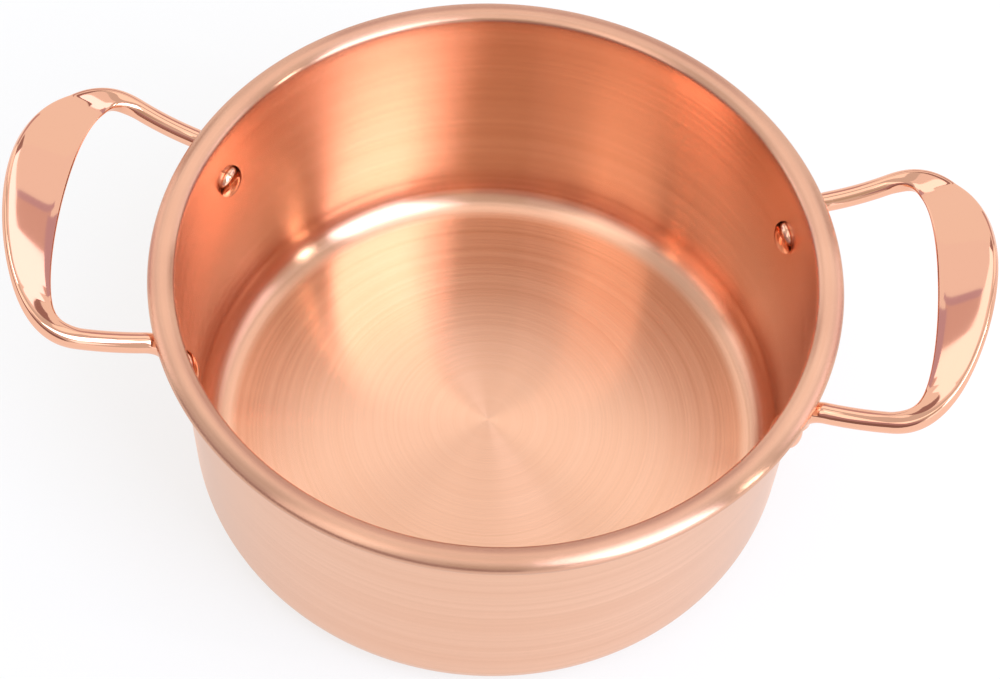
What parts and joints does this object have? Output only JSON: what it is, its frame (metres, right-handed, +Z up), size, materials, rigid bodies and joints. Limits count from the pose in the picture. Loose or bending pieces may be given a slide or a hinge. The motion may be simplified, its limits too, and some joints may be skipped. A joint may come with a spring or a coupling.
{
  "type": "two-handled copper cooking pot",
  "caption": "Low round copper cooking pot with straight sides, a rolled rim and riveted upswept loop handles on opposite sides.",
  "frame": {"origin": "centre of the pot's base, on the surface that it stands on", "axes": "+Z up along the pot's axis, +X through the middle of the right handle, +Y towards the back of the pot"},
  "size_m": [0.299, 0.2168, 0.1249],
  "materials": {
    "brushed_copper": "copper, spun and finely brushed in rings, satin",
    "polished_rose": "pale copper alloy, mirror polished",
    "rivet_metal": "copper alloy, mirror polished"
  },
  "bodies": {
    "root": {"pot_shell": "brushed_copper", "left_handle": "polished_rose", "right_handle": "polished_rose", "rivet_left_front": "rivet_metal", "rivet_left_back": "rivet_metal", "rivet_right_front": "rivet_metal", "rivet_right_back": "rivet_metal"}
  },
  "joints": []
}
